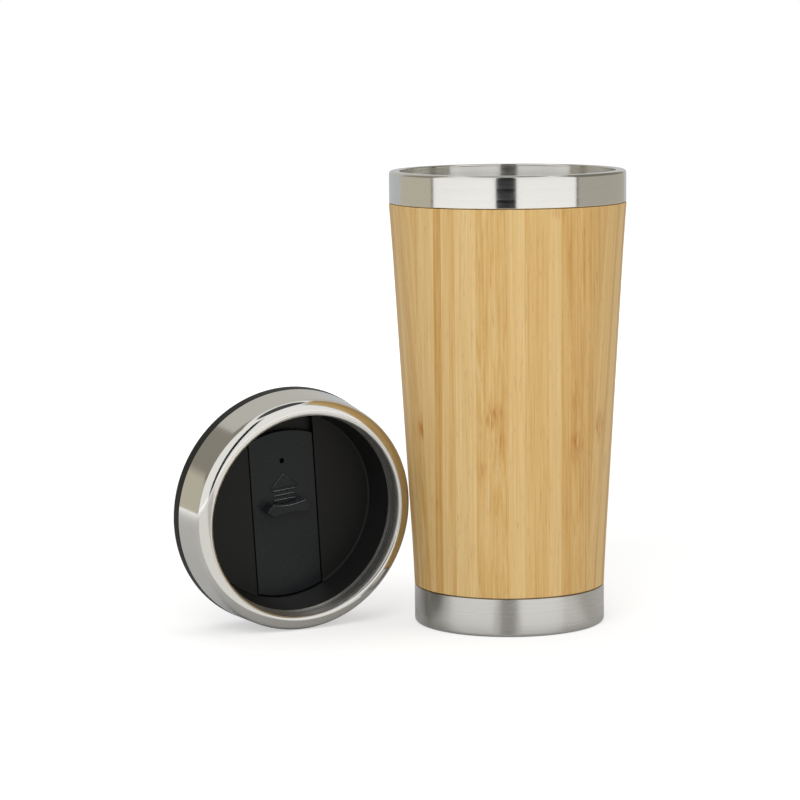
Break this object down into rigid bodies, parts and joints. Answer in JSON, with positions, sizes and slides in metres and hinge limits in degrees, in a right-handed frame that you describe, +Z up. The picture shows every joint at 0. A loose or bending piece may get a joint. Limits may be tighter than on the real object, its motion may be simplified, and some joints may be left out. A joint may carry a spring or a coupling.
{
  "type": "stainless steel tumbler",
  "caption": "Tapered drinking tumbler with a steel liner, rim band and foot in a turned bamboo sleeve; its slide lid of steel and black plastic stands on edge beside it.",
  "frame": {"origin": "middle of the tumbler's flat underside, on the table", "axes": "+Z up along the tumbler's axis; the open top of the lid faces -Y; the lid stands on the -X side of the tumbler"},
  "size_m": [0.1606, 0.09, 0.1635],
  "materials": {
    "liner_steel": "bright drawn stainless steel",
    "rim_steel": "polished, with fine lines round it",
    "bamboo": "satin lacquered bamboo strips",
    "core_plastic": "moulded, hidden",
    "foot_steel": "satin brushed round the foot",
    "lid_steel": "polished outside, brushed inside the lip",
    "lid_plastic": "satin black",
    "silicone": "matt",
    "slider_plastic": "satin black, slightly cooler than the insert"
  },
  "bodies": {
    "tumbler": {"inner_liner": "liner_steel", "rim_band": "rim_steel", "bamboo_sleeve": "bamboo", "base_core": "core_plastic", "base_foot": "foot_steel"},
    "lid": {"lid_cover": "lid_steel", "lid_insert": "lid_plastic", "lid_plug": "lid_plastic", "lid_seal": "silicone"},
    "slider": {"lid_slider": "slider_plastic"}
  },
  "joints": [
    {"name": "lid_lift", "type": "slide", "parent": "tumbler", "child": "lid", "axis": [-0.2924, 0, 0.9563], "range_m": [0, 0.185]},
    {"name": "slider_slide", "type": "slide", "parent": "lid", "child": "slider", "axis": [-0.0976, -0.0867, 0.9914], "range_m": [0, 0.0062]}
  ]
}
